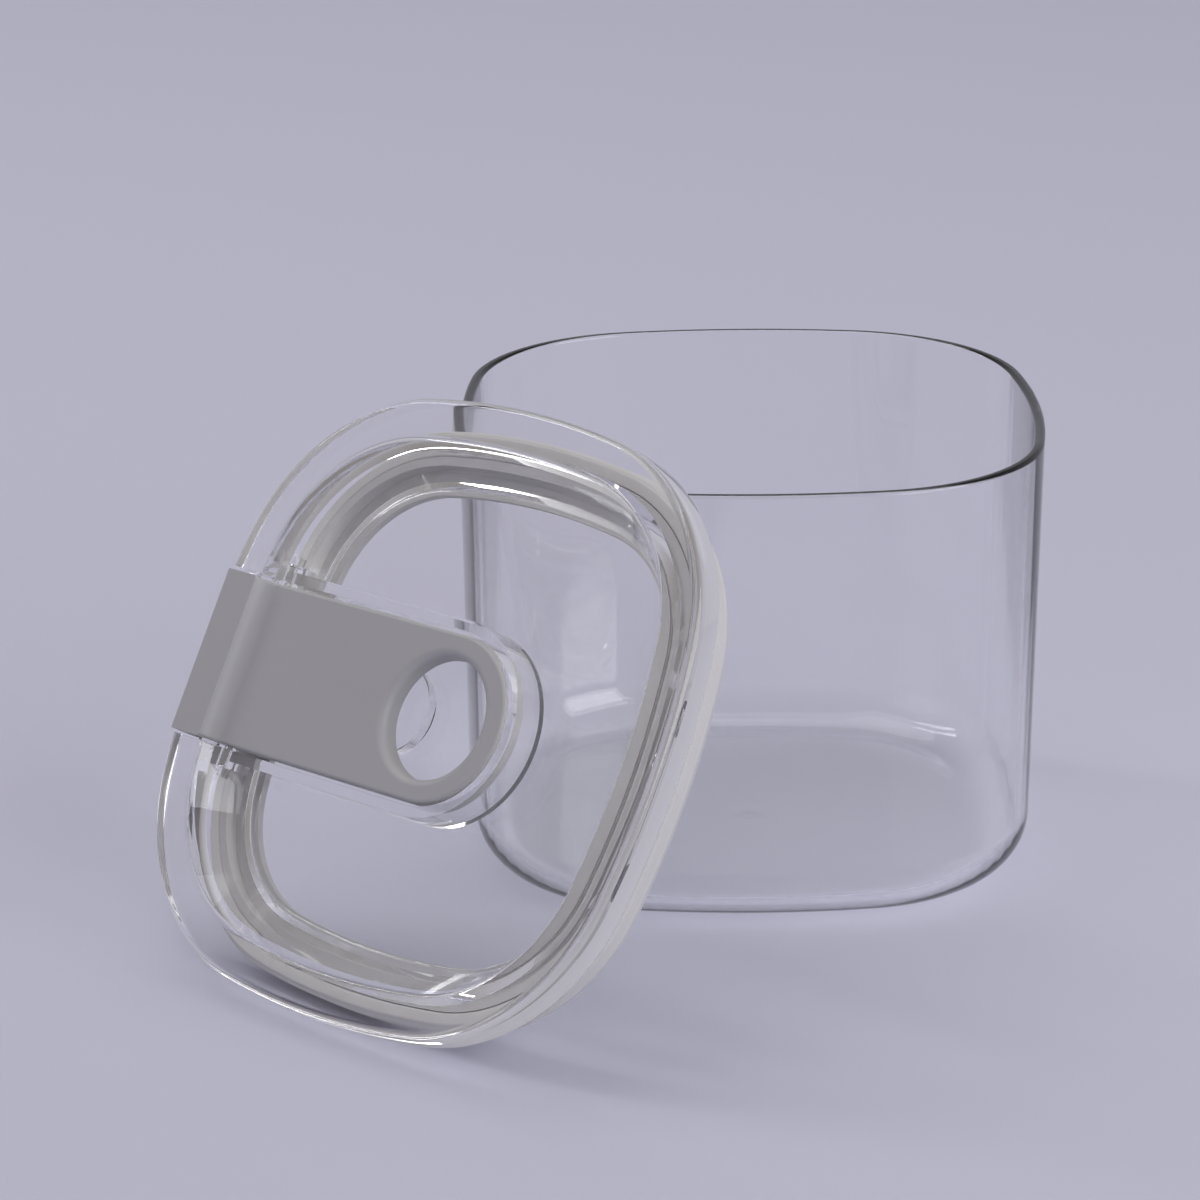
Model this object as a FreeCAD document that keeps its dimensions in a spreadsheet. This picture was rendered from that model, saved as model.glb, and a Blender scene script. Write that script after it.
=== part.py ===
"""Clear food canister with a lever lid, standing open: the lid leans on the canister's front corner.

Millimetres, +Z up.  The origin is the middle of the canister's flat underside.  The lid's pieces
are drawn in the lid's own frame (X from the lever's outer end towards its finger hole, Y across
the lever, Z out of the top, zero on the flat top of the rim) and share one Placement.
"""
import FreeCAD, Part
import math
import os

import Sketcher
from FreeCAD import Placement, Rotation, Vector

doc = FreeCAD.newDocument("Canister")

# ---------------------------------------------------------------- driving dimensions

SIZES = (
    # canister
    ("half_width", 65.0),
    ("canister_height", 100.4),
    ("corner_radius", 43.0),
    ("side_radius", 182.0),
    ("wall", 2.4),
    ("base_thickness", 3.0),
    ("draft_inset", 1.8),
    ("heel_radius", 13.0),
    ("mouth_rounding", 0.9),
    # lid cover
    ("overhang", 2.5),
    ("rim_height", 7.5),
    ("rim_flat", 9.5),
    ("rim_edge_radius", 2.0),
    ("inner_edge_radius", 1.6),
    ("window_inset", 17.4),
    ("window_depth", 12.5),
    ("window_thickness", 2.5),
    ("foot_radius", 1.5),
    # lever, its chamber and its hinge
    ("lever_width", 36.9),
    ("lever_drop", 3.5),
    ("lever_thickness", 4.5),
    ("lever_end", 2.6),
    ("lever_rounding", 0.8),
    ("cove_length", 4.1),
    ("toe_thickness", 3.6),
    ("toe_bottom", 7.2),
    ("toe_edge_radius", 1.4),
    ("strip_thickness", 2.2),
    ("hole_radius", 13.4),
    ("hole_centre", 1.7),
    ("hole_lip", 1.8),
    ("lever_gap", 0.8),
    ("chamber_wall", 2.4),
    ("post_radius", 9.5),
    ("post_centre", -15.5),
    ("post_height", 2.5),
    ("pivot_inset", 15.0),
    ("pivot_depth", 5.5),
    ("pin_radius", 1.5),
    ("pin_running_gap", 0.06),
    ("pin_engagement", 6.0),
    ("ear_length", 5.0),
    ("ear_width", 4.0),
    ("ear_rise", 0.6),
    # seal
    ("gasket_inset", 5.3),
    ("gasket_thickness", 2.6),
    ("gasket_lip", 0.7),
    ("gasket_top", 12.0),
    ("seal_bottom", 19.5),
    ("frame_thickness", 1.8),
    # how the lid stands beside the canister
    ("lid_x", -74.4),
    ("lid_y", -91.8),
    ("lid_z", 62.8),
    ("lid_turn", -45.4),
    ("lid_tip", 58.6),
    ("lid_spin", 2.1),
)

sheet = doc.addObject("Spreadsheet::Sheet", "Sizes")
for row, (alias, value) in enumerate(SIZES, start=1):
    sheet.set(f"A{row}", alias)
    sheet.set(f"B{row}", str(value))
    sheet.setAlias(f"B{row}", alias)
doc.recompute()


def size(alias):
    """Value of one driving dimension."""
    return float(sheet.get(alias))


CORNER_RADIUS = size("corner_radius")
SIDE_RADIUS = size("side_radius")
HALF_WIDTH = size("half_width")
OVERHANG = size("overhang")
LID_HALF = HALF_WIDTH + OVERHANG
LEVER_HALF = size("lever_width") / 2

# Centres of the side arc (on the axis) and of the corner arc (on the diagonal), tangent inside.
SIDE_CENTRE = HALF_WIDTH - SIDE_RADIUS
HALF_WAY = SIDE_CENTRE / 2
CORNER_CENTRE = HALF_WAY + math.sqrt(
    HALF_WAY ** 2 - (SIDE_CENTRE ** 2 - (SIDE_RADIUS - CORNER_RADIUS) ** 2) / 2
)
TANGENT_ANGLE = math.atan2(CORNER_CENTRE, CORNER_CENTRE - SIDE_CENTRE)

# ---------------------------------------------------------------- sketching helpers


def new_body(label, placement=None):
    body = doc.addObject("PartDesign::Body", label)
    body.Label = label
    if placement is not None:
        body.Placement = placement
    return body


def new_sketch(body, name, plane="XY_Plane", offset=0.0):
    """Sketch on one of the body's own origin planes, moved along the plane's normal."""
    sketch = body.newObject("Sketcher::SketchObject", name)
    origin = [f for f in body.Origin.OriginFeatures if f.Role == plane][0]
    sketch.AttachmentSupport = [(origin, "")]
    sketch.MapMode = "FlatFace"
    sketch.AttachmentOffset = Placement(Vector(0, 0, offset), Rotation())
    return sketch


def arc(centre, radius, start, end):
    circle = Part.Circle(Vector(centre[0], centre[1], 0), Vector(0, 0, 1), radius)
    return Part.ArcOfCircle(circle, start, end)


def outline(sketch, inset):
    """Rounded square with slightly bowed sides, a given distance inside the canister's mouth line.

    It starts in the middle of the +X side.
    """
    side = SIDE_RADIUS - inset
    corner = CORNER_RADIUS - inset
    quarter = math.pi / 2
    pieces = [arc((SIDE_CENTRE, 0), side, 0, TANGENT_ANGLE)]
    for turn in range(4):
        start = turn * quarter
        c, s = math.cos(start), math.sin(start)
        centre = (CORNER_CENTRE * (c - s), CORNER_CENTRE * (s + c))
        pieces.append(arc(centre, corner, start + TANGENT_ANGLE, start + quarter - TANGENT_ANGLE))
        middle = start + quarter
        axis_centre = (SIDE_CENTRE * math.cos(middle), SIDE_CENTRE * math.sin(middle))
        finish = middle + TANGENT_ANGLE if turn < 3 else middle
        pieces.append(arc(axis_centre, side, middle - TANGENT_ANGLE, finish))
    sketch.addGeometry(pieces, False)


def rounded_corner(before, corner, after, radius):
    """Tangent points and the middle point of a fillet of one profile corner."""
    to_before = (before - corner).normalize()
    to_after = (after - corner).normalize()
    half = to_before.getAngle(to_after) / 2
    reach = radius / math.tan(half)
    bisector = (to_before + to_after).normalize()
    centre = corner + bisector * (radius / math.sin(half))
    middle = centre - bisector * radius
    return corner + to_before * reach, middle, corner + to_after * reach


def profile(sketch, corners):
    """Closed profile of straight runs; a corner given as (x, y, radius) is rounded."""
    points = [Vector(c[0], c[1], 0) for c in corners]
    radii = [c[2] if len(c) > 2 else 0.0 for c in corners]
    count = len(points)
    pieces = []
    ends = []
    for i in range(count):
        if radii[i] > 0:
            ends.append(rounded_corner(points[i - 1], points[i], points[(i + 1) % count], radii[i]))
        else:
            ends.append((points[i], None, points[i]))
    for i in range(count):
        enter, middle, leave = ends[i]
        if middle is not None:
            pieces.append(Part.Arc(enter, middle, leave))
        pieces.append(Part.LineSegment(leave, ends[(i + 1) % count][0]))
    sketch.addGeometry(pieces, False)


def stadium(sketch, left, end_centre, half):
    """Bar with a square end at x = left and a half-round end about x = end_centre."""
    upper = Vector(end_centre, half, 0)
    lower = Vector(end_centre, -half, 0)
    sketch.addGeometry([
        Part.LineSegment(Vector(left, half, 0), Vector(left, -half, 0)),
        Part.LineSegment(Vector(left, -half, 0), lower),
        Part.Arc(lower, Vector(end_centre + half, 0, 0), upper),
        Part.LineSegment(upper, Vector(left, half, 0)),
    ], False)


def circle(sketch, x, y, alias):
    sketch.addGeometry(Part.Circle(Vector(x, y, 0), Vector(0, 0, 1), size(alias)), False)
    number = sketch.addConstraint(Sketcher.Constraint("Radius", 0, size(alias)))
    sketch.renameConstraint(number, "radius")
    sketch.setExpression("Constraints.radius", f"Sizes.{alias}")


def extrude(body, kind, name, sketch, length, midplane=False, reverse=False):
    """Pad or Pocket whose length is an expression of the sheet."""
    feature = body.newObject(f"PartDesign::{kind}", name)
    feature.Profile = sketch
    feature.SideType = "Symmetric" if midplane else "One side"
    feature.Reversed = reverse
    feature.setExpression("Length", length)
    doc.recompute()
    return feature


def ring(body, name, path_inset, corners):
    """Profile swept once round the rounded square; it is drawn where the path meets the +X side."""
    path = new_sketch(body, f"{name}Path")
    outline(path, path_inset)
    section = new_sketch(body, f"{name}Section", "XZ_Plane")
    profile(section, corners)
    doc.recompute()
    pipe = body.newObject("PartDesign::AdditivePipe", name)
    pipe.Profile = section
    pipe.Spine = path
    pipe.Mode = "Frenet"
    pipe.Transition = "Transformed"
    doc.recompute()
    return pipe


def round_edges(body, name, base, radius, wanted):
    """Fillet the edges of base whose shape passes the test."""
    names = [f"Edge{i}" for i, edge in enumerate(base.Shape.Edges, start=1) if wanted(edge)]
    if not names:
        raise RuntimeError(f"{name}: no edge to round")
    fillet = body.newObject("PartDesign::Fillet", name)
    fillet.Base = (base, names)
    fillet.setExpression("Radius", radius)
    doc.recompute()
    return fillet


def level(edge, height):
    """True for an edge that lies flat at a height."""
    box = edge.BoundBox
    return abs(box.ZMin - height) < 1e-3 and abs(box.ZMax - height) < 1e-3


# ---------------------------------------------------------------- canister


def build_canister():
    body = new_body("canister")
    height = size("canister_height")
    floor = size("base_thickness")
    draft = size("draft_inset")
    for kind, name, inset, bottom in (
        ("AdditiveLoft", "Outside", 0.0, 0.0),
        ("SubtractiveLoft", "Inside", size("wall"), floor),
    ):
        low = new_sketch(body, f"{name}Base", offset=bottom)
        outline(low, inset + draft * (1 - bottom / height))
        high = new_sketch(body, f"{name}Mouth", offset=height)
        outline(high, inset)
        doc.recompute()
        shell = body.newObject(f"PartDesign::{kind}", name)
        shell.Profile = low
        shell.Sections = [high]
        shell.Ruled = True
        doc.recompute()
    inner_heel = round_edges(body, "InnerHeel", shell, "Sizes.heel_radius - Sizes.wall",
                             lambda e: level(e, floor))
    heel = round_edges(body, "Heel", inner_heel, "Sizes.heel_radius", lambda e: level(e, 0.0))
    round_edges(body, "Mouth", heel, "Sizes.mouth_rounding", lambda e: level(e, height))
    return body


# ---------------------------------------------------------------- lid

lid_placement = Placement(
    Vector(size("lid_x"), size("lid_y"), size("lid_z")),
    Rotation(Vector(0, 0, 1), size("lid_turn"))
    * Rotation(Vector(1, 0, 0), size("lid_tip"))
    * Rotation(Vector(0, 0, 1), size("lid_spin")),
)

RIM_BOTTOM = -size("rim_height")
WINDOW_TOP = -size("window_depth")
WINDOW_BOTTOM = WINDOW_TOP - size("window_thickness")
LEVER_TOP = -size("lever_drop")
LEVER_BOTTOM = LEVER_TOP - size("lever_thickness")
SEAL_BOTTOM = -size("seal_bottom")
PIVOT_X = -LID_HALF + size("pivot_inset")
PIVOT_Z = -size("pivot_depth")
GASKET_BACK = size("gasket_inset") + size("gasket_thickness")

# The underside of the rim's sloping inner wall, from the back of the seal to the window.
SLOPE_START = GASKET_BACK + 0.2
SLOPE_END = 12.4
RIM_LOWER_RADIUS = 0.6

# How far neighbouring features of one moulding run into each other, and how far a cut runs past.
RING_OVERLAP = 2.0
PANE_OVERLAP = 1.0
SINK = 0.5
CUT_PAST = 2.0

# The trough that the lever's outer end works in: open to below under the toe, a web over the
# seal, then down to the window.  It reaches a little way past the pivot.
TROUGH_OPEN = size("toe_thickness") + 0.6
TROUGH_FLOOR = RIM_BOTTOM + 1.6
TROUGH_STEP = 8.5
TROUGH_FOOT = 12.0
TROUGH_PAST_PIVOT = 2.0
CHAMBER_PAST_PIVOT = 1.5

# The lever's underside between its plate and its strip: a barrel round the pins, then a web.
BARREL_FRONT = 1.5
BARREL_BACK = 2.4
BARREL_RISE = 0.8
WEB_EXTRA = 0.4
TONGUE_START = 4.0

# Seal frame: clearances to its neighbours, the step under the rim, its foot and its rounding.
FRAME_GAP = 0.1
FRAME_UPSTAND = 3.0
FRAME_STEP = 0.4
FRAME_SHELF = 2.2
FRAME_SIDE_GAP = 0.6
FOOT_INSET = 0.8
FOOT_THICKNESS = 1.6
FRAME_ROUNDING = 0.5
FOOT_TOP_ROUNDING = 0.3

# Gasket band: it stands on the frame's foot; each lip sits at a share of its height.
BAND_GAP = 0.1
LIP_SHARES = (0.28, 0.72)
LIP_WIDTH = 0.6
LIP_ROUNDING = 0.2
BAND_ROUNDING = 0.6
BAND_BACK_ROUNDING = 0.4


def build_cover():
    body = new_body("lid_cover", lid_placement)
    inset = size("window_inset")
    ring(body, "Rim", -OVERHANG, [
        (LID_HALF, RIM_BOTTOM, RIM_LOWER_RADIUS),
        (LID_HALF, 0.0, size("rim_edge_radius")),
        (LID_HALF - size("rim_flat"), 0.0, size("inner_edge_radius")),
        (LID_HALF - inset, WINDOW_TOP, size("foot_radius")),
        (LID_HALF - inset - RING_OVERLAP, WINDOW_TOP),
        (LID_HALF - inset - RING_OVERLAP, WINDOW_BOTTOM),
        (LID_HALF - SLOPE_END, WINDOW_BOTTOM),
        (LID_HALF - SLOPE_START, RIM_BOTTOM),
    ])
    pane = new_sketch(body, "PaneOutline", offset=WINDOW_BOTTOM)
    outline(pane, inset + PANE_OVERLAP - OVERHANG)
    extrude(body, "Pad", "Pane", pane, "Sizes.window_thickness")

    gap_half = LEVER_HALF + size("lever_gap")
    walls = new_sketch(body, "ChamberOutline", offset=WINDOW_TOP - SINK)
    stadium(walls, PIVOT_X - CHAMBER_PAST_PIVOT, size("lever_end"),
            gap_half + size("chamber_wall"))
    extrude(body, "Pad", "ChamberWall", walls, f"Sizes.window_depth + {SINK} - Sizes.lever_drop")

    ear_top = LEVER_TOP + size("ear_rise")
    ears = new_sketch(body, "EarOutline", offset=ear_top)
    for side in (-1, 1):
        near = side * gap_half
        far = side * (gap_half + size("ear_width"))
        left = PIVOT_X - size("ear_length") / 2
        right = PIVOT_X + size("ear_length") / 2
        corners = [Vector(left, near, 0), Vector(right, near, 0), Vector(right, far, 0),
                   Vector(left, far, 0)]
        ears.addGeometry([
            Part.LineSegment(corners[i], corners[(i + 1) % 4]) for i in range(4)
        ], False)
    extrude(body, "Pad", "Ears", ears,
            f"Sizes.window_depth + {SINK} - Sizes.lever_drop + Sizes.ear_rise", reverse=True)

    hollow = new_sketch(body, "ChamberHollow", offset=CUT_PAST)
    stadium(hollow, PIVOT_X, size("lever_end"), gap_half)
    extrude(body, "Pocket", "Chamber", hollow, f"Sizes.window_depth + {CUT_PAST}")

    trough = new_sketch(body, "TroughProfile", "XZ_Plane")
    profile(trough, [
        (-LID_HALF - CUT_PAST, CUT_PAST),
        (-LID_HALF - CUT_PAST, RIM_BOTTOM - CUT_PAST),
        (-LID_HALF + TROUGH_OPEN, RIM_BOTTOM - CUT_PAST),
        (-LID_HALF + TROUGH_OPEN, TROUGH_FLOOR),
        (-LID_HALF + TROUGH_STEP, TROUGH_FLOOR),
        (-LID_HALF + TROUGH_FOOT, WINDOW_TOP),
        (PIVOT_X + TROUGH_PAST_PIVOT, WINDOW_TOP),
        (PIVOT_X + TROUGH_PAST_PIVOT, CUT_PAST),
    ])
    extrude(body, "Pocket", "Trough", trough, "Sizes.lever_width + 2 * Sizes.lever_gap",
            midplane=True)

    post = new_sketch(body, "PostOutline", offset=WINDOW_TOP - SINK)
    circle(post, size("post_centre"), 0, "post_radius")
    extrude(body, "Pad", "Post", post, f"Sizes.post_height + {SINK}")

    bore = new_sketch(body, "PinBores", "XZ_Plane")
    circle(bore, PIVOT_X, PIVOT_Z, "pin_radius")
    extrude(body, "Pocket", "PinBore", bore,
            f"Sizes.lever_width + 2 * (Sizes.lever_gap + Sizes.ear_width + {CUT_PAST})",
            midplane=True)
    return body


def build_lever():
    body = new_body("lever", lid_placement)
    left = -LID_HALF
    cove_end = left + size("rim_flat") + size("cove_length")
    drop = size("lever_drop")
    cove_radius = (size("cove_length") ** 2 + drop ** 2) / (2 * drop)
    strip_bottom = -size("strip_thickness")
    toe_inside = left + size("toe_thickness")
    cove_start = left + size("rim_flat")

    side = new_sketch(body, "SideProfile", "XZ_Plane")
    turn = math.asin(size("cove_length") / cove_radius) / 2
    cove_middle = Vector(cove_end - cove_radius * math.sin(turn),
                         LEVER_TOP + cove_radius * (1 - math.cos(turn)), 0)
    edge = size("toe_edge_radius")
    edge_inset = edge * (1 - math.sqrt(0.5))
    points = {
        "toe_outer": Vector(left, -size("toe_bottom"), 0),
        "top_left": Vector(left, -edge, 0),
        "top_mid": Vector(left + edge_inset, -edge_inset, 0),
        "top_right": Vector(left + edge, 0, 0),
        "cove_start": Vector(cove_start, 0, 0),
        "cove_end": Vector(cove_end, LEVER_TOP, 0),
        "plate_top": Vector(size("lever_end"), LEVER_TOP, 0),
        "plate_bottom": Vector(size("lever_end"), LEVER_BOTTOM, 0),
        "barrel_right": Vector(PIVOT_X + BARREL_FRONT, LEVER_BOTTOM, 0),
        "barrel_left": Vector(PIVOT_X - BARREL_BACK, LEVER_BOTTOM + BARREL_RISE, 0),
        "web": Vector(cove_start, strip_bottom - WEB_EXTRA, 0),
        "strip": Vector(toe_inside, strip_bottom, 0),
        "toe_inner": Vector(toe_inside, -size("toe_bottom"), 0),
    }
    run = Part.LineSegment
    side.addGeometry([
        run(points["toe_outer"], points["top_left"]),
        Part.Arc(points["top_left"], points["top_mid"], points["top_right"]),
        run(points["top_right"], points["cove_start"]),
        Part.Arc(points["cove_start"], cove_middle, points["cove_end"]),
        run(points["cove_end"], points["plate_top"]),
        run(points["plate_top"], points["plate_bottom"]),
        run(points["plate_bottom"], points["barrel_right"]),
        run(points["barrel_right"], points["barrel_left"]),
        run(points["barrel_left"], points["web"]),
        run(points["web"], points["strip"]),
        run(points["strip"], points["toe_inner"]),
        run(points["toe_inner"], points["toe_outer"]),
    ], False)
    extrude(body, "Pad", "Arm", side, "Sizes.lever_width", midplane=True)

    tongue = new_sketch(body, "TongueOutline", offset=LEVER_BOTTOM)
    stadium(tongue, PIVOT_X + TONGUE_START, size("lever_end"), LEVER_HALF)
    plate = extrude(body, "Pad", "Tongue", tongue, "Sizes.lever_thickness")
    end = size("lever_end")
    round_edges(
        body, "PlateEdge", plate, "Sizes.lever_rounding",
        lambda e: level(e, LEVER_TOP) and e.BoundBox.XMax > cove_end + 1
        and (e.BoundBox.YMax > LEVER_HALF - 0.01 or e.BoundBox.XMax > end + 1))

    hole = new_sketch(body, "FingerHole", offset=0.0)
    circle(hole, size("hole_centre"), 0, "hole_radius")
    pocket = extrude(body, "Pocket", "Hole", hole,
                     f"Sizes.lever_drop + Sizes.lever_thickness + {CUT_PAST}")
    reach = size("hole_radius")
    round_edges(
        body, "HoleLip", pocket, "Sizes.hole_lip",
        lambda e: level(e, LEVER_TOP) and abs(e.BoundBox.YLength - 2 * reach) < 0.01)

    bore = new_sketch(body, "PinBores", "XZ_Plane")
    bore.addGeometry(Part.Circle(Vector(PIVOT_X, PIVOT_Z, 0), Vector(0, 0, 1),
                                 size("pin_radius") + size("pin_running_gap")), False)
    extrude(body, "Pocket", "PinBore", bore, f"Sizes.lever_width + {CUT_PAST}", midplane=True)
    return body


def build_pins():
    """Two short pins, pressed through the ears and running in the lever's sides."""
    pins = []
    length = size("pin_engagement") + size("lever_gap") + size("ear_width")
    for number, side in ((1, -1), (2, 1)):
        pin = doc.addObject("Part::Cylinder", f"pivot_pin_{number}")
        pin.Label = f"pivot_pin_{number}"
        pin.setExpression("Radius", "Sizes.pin_radius")
        pin.setExpression("Height", "Sizes.pin_engagement + Sizes.lever_gap + Sizes.ear_width")
        inner = LEVER_HALF - size("pin_engagement")
        start = inner if side > 0 else -inner - length
        pin.Placement = lid_placement.multiply(
            Placement(Vector(PIVOT_X, start, PIVOT_Z), Rotation(Vector(1, 0, 0), -90)))
        pins.append(pin)
    return pins


def build_seal_frame():
    """White ring under the window that carries the gasket: shelf, upright wall and foot."""
    body = new_body("seal_frame", lid_placement)
    thickness = size("frame_thickness")
    wall_outer = LID_HALF - GASKET_BACK - FRAME_GAP
    wall_inner = wall_outer - thickness
    shelf_outer = LID_HALF - SLOPE_END - FRAME_SIDE_GAP
    shelf_inner = LID_HALF - size("window_inset") - FRAME_STEP
    shelf_bottom = WINDOW_BOTTOM - FRAME_SHELF
    foot_outer = LID_HALF - size("gasket_inset") - FOOT_INSET
    foot_inner = wall_inner - FOOT_INSET
    foot_top = SEAL_BOTTOM + FOOT_THICKNESS
    ring(body, "Frame", -OVERHANG, [
        (foot_outer, SEAL_BOTTOM, FRAME_ROUNDING),
        (foot_outer, foot_top, FOOT_TOP_ROUNDING),
        (wall_outer, foot_top),
        (wall_outer, WINDOW_BOTTOM + FRAME_UPSTAND),
        (wall_inner, WINDOW_BOTTOM + FRAME_UPSTAND),
        (wall_inner, WINDOW_BOTTOM - FRAME_STEP),
        (shelf_outer, WINDOW_BOTTOM - FRAME_STEP),
        (shelf_outer, WINDOW_BOTTOM - FRAME_GAP),
        (shelf_inner, WINDOW_BOTTOM - FRAME_GAP),
        (shelf_inner, shelf_bottom, FRAME_ROUNDING),
        (foot_inner, shelf_bottom, FRAME_ROUNDING),
        (foot_inner, SEAL_BOTTOM, FRAME_ROUNDING),
    ])
    return body


def build_gasket():
    """Silicone band round the frame, below the rim, with two sealing lips."""
    body = new_body("gasket", lid_placement)
    face = LID_HALF - size("gasket_inset")
    tip = face + size("gasket_lip")
    back = LID_HALF - GASKET_BACK
    bottom = SEAL_BOTTOM + FOOT_THICKNESS + BAND_GAP
    top = -size("gasket_top")
    height = top - bottom
    corners = [(back, bottom, BAND_BACK_ROUNDING), (face, bottom, BAND_ROUNDING)]
    for share in LIP_SHARES:
        middle = bottom + share * height
        corners += [
            (face, middle - 2 * LIP_WIDTH),
            (tip, middle - LIP_WIDTH / 2, LIP_ROUNDING),
            (tip, middle + LIP_WIDTH / 2, LIP_ROUNDING),
            (face, middle + 2 * LIP_WIDTH),
        ]
    corners += [(face, top, BAND_ROUNDING), (back, top, BAND_BACK_ROUNDING)]
    ring(body, "Band", -OVERHANG, corners)
    return body


# ---------------------------------------------------------------- build, check, write

pieces = [build_canister(), build_cover(), build_seal_frame(), build_gasket(), build_lever()]
pieces += build_pins()
doc.recompute()

for item in doc.Objects:
    if "Invalid" in item.State or "Error" in item.State:
        raise RuntimeError(f"{item.Name} failed: {item.State}")

for piece in pieces:
    shape = piece.Shape
    if shape.isNull() or not shape.isValid() or len(shape.Solids) != 1:
        raise RuntimeError(f"{piece.Label}: bad shape, {len(shape.Solids)} solids")

os.makedirs("parts", exist_ok=True)
for piece in pieces:
    piece.Shape.exportStep(f"parts/{piece.Label}.step")
    box = piece.Shape.BoundBox
    print(f"{piece.Label}: {piece.Shape.Volume / 1000:.2f} cm3,"
          f" x {box.XMin:.1f}..{box.XMax:.1f} y {box.YMin:.1f}..{box.YMax:.1f}"
          f" z {box.ZMin:.1f}..{box.ZMax:.1f}")
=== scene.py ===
import math

import bmesh
import bpy
from bpy.props import FloatProperty, FloatVectorProperty, IntProperty, PointerProperty
from mathutils import Matrix, Vector


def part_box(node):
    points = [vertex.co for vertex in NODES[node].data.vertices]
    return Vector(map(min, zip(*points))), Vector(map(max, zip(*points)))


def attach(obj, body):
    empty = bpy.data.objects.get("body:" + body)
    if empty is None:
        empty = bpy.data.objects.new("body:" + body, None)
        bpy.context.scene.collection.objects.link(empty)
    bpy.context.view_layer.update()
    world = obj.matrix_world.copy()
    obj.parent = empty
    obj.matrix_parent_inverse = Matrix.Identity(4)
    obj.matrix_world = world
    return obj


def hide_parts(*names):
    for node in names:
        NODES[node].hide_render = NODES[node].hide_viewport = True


bl_info = {
    "name": "Lever lid canister",
    "version": (1, 0, 0),
    "blender": (4, 5, 0),
    "location": "View3D > Sidebar > Canister",
    "description": "Clear moulded canister with a thick clear lid, silicone seal and finger lever",
    "category": "Object",
}

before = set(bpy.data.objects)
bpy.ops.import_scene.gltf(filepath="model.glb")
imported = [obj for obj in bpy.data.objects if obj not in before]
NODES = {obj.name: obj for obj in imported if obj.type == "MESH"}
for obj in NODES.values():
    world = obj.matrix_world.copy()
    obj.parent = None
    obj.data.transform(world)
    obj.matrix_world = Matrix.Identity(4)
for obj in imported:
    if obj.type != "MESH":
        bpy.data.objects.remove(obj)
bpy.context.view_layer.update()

MM = 0.001

# The rounded square shared by the canister's mouth and every ring of the lid, in millimetres.
HALF_WIDTH = 65.0
OVERHANG = 2.5
CORNER_RADIUS = 43.0
SIDE_RADIUS = 182.0
LID_HALF = HALF_WIDTH + OVERHANG

# Where the leaning lid's own frame lies: its origin is the lid's centre on the rim's flat top.
LID_PLACE = (
    Matrix.Translation(Vector((-74.4, -91.8, 62.8)) * MM)
    @ Matrix.Rotation(math.radians(-45.4), 4, "Z")
    @ Matrix.Rotation(math.radians(58.6), 4, "X")
    @ Matrix.Rotation(math.radians(2.1), 4, "Z")
)

# The seal, in the lid's frame: inset from the canister's mouth line, and depth below the rim.
BAND_FACE = 5.3 - OVERHANG
BAND_BACK = BAND_FACE + 2.6
BAND_TOP = -12.0
BAND_BOTTOM = -17.8
BAND_BACK_ROUNDING = 0.4
BAND_FACE_ROUNDING = 0.6
LIP_REACH = 0.7
LIP_SHARES = (0.28, 0.72)
LIP_WIDTH = 0.6
LIP_ROUNDING = 0.2

# The lid moulding's section: insets from the lid's outer edge, and heights in the lid's frame.
SLOPE_START = 8.1
SLOPE_END = 12.4
WINDOW_INSET = 17.4
WINDOW_TOP = -12.5
WINDOW_BOTTOM = -15.0
RIM_BOTTOM = -7.5
RIM_FLAT = 9.5
FOOT_ROUNDING = 1.5
INNER_ROUNDING = 1.6
OUTER_ROUNDING = 2.0
LOWER_ROUNDING = 0.6
# How far the swept section runs into the flat window; flat faces close the rest of it.
WINDOW_RUN = 3.0

# The lever's chamber, its hinge ears and the post: X runs from the lever's outer end to its hole.
LEVER_END = 2.6
LEVER_TOP = -3.5
GAP_HALF = 36.9 / 2 + 0.8
CHAMBER_WALL = 2.4
CHAMBER_PAST_PIVOT = 1.5
PIVOT_X = -LID_HALF + 15.0
PIVOT_Z = -5.5
BORE_RADIUS = 1.5
EAR_WIDTH = 4.0
EAR_HALF_LENGTH = 2.5
EAR_RISE = 0.6
TROUGH_OPEN = 4.2
TROUGH_WEB = 8.5
TROUGH_FOOT = 12.0
WEB_THICKNESS = 1.6
TROUGH_PAST_PIVOT = 2.0
POST_X = -15.5
POST_RADIUS = 9.5
POST_HEIGHT = 2.5
# Joined pieces sink into each other, and cuts run past the faces that they open.
WALL_SINK = 0.5
EAR_SINK = 0.4
POST_SINK = 0.3
SKIM = 0.01
CUT_PAST = 2.0

# The canister: its height, inside floor and wall, how far the draft draws the base in, its roundings
# and how far the swept section runs into the flat base.
HEIGHT = 100.4
FLOOR = 3.0
WALL = 2.4
DRAFT = 1.8
HEEL = 13.0
MOUTH_ROUNDING = 0.9
BASE_RUN = 2.0

# The gate mark in the middle of the canister's floor, in metres: a low round button.
GATE_FLAT = 0.0028
GATE_EDGE = 0.0048
GATE_HEIGHT = 0.00004

# The lever's hinge pins: pressed through the lid's ears, drawn a hair thinner than their bores.
PIN_RADIUS = 1.46
PIN_BEVEL = 0.35
PIN_STEPS = 48

# The paper lies just under the base, in metres: an air gap, as under a moulded foot ring.
FLOOR_DROP = -0.0003
FLOOR_HALF = 12.0

# The outline's points in each quarter: along a bowed side, and round a corner.
SIDE_STEPS = 24
CORNER_STEPS = 48
ROUND_STEPS = 64

# Points closer than this many metres are one point; edges sharper than these angles stay sharp.
SAME_PLACE = 1e-6
CREASE = math.radians(30)
BAND_CREASE = math.radians(40)

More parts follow.
